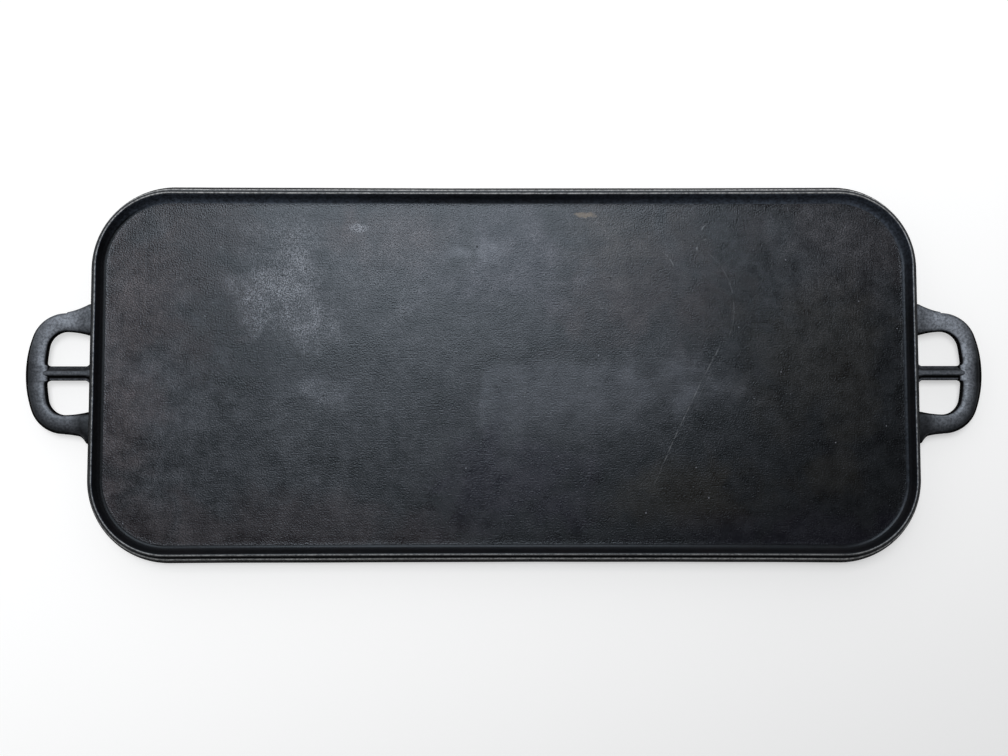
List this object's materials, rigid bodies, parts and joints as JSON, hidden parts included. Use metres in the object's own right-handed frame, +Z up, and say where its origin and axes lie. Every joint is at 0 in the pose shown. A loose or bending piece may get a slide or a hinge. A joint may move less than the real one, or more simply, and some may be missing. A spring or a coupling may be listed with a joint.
{
  "type": "long griddle",
  "caption": "Long flat cast-iron griddle with rounded corners, a raised rim all round, a flared skirt on a foot ring, and a barred loop handle at each short end.",
  "frame": {"origin": "middle of the standing face, under the centre of the cooking plate", "axes": "+X along the length and out through the right handle, +Y across the width, +Z up from the standing face to the rim"},
  "size_m": [0.548, 0.216, 0.016],
  "materials": {
    "cooking_surface": "ground and seasoned, satin, mottled",
    "cast_wall": "as cast and seasoned, worn along the crest",
    "cast_handle": "as cast and seasoned, satin, finely pitted"
  },
  "bodies": {
    "root": {"cooking_plate": "cooking_surface", "rim": "cast_wall", "foot_ring": "cast_wall", "left_handle": "cast_handle", "left_handle_bar": "cast_handle", "right_handle": "cast_handle", "right_handle_bar": "cast_handle"}
  },
  "joints": []
}
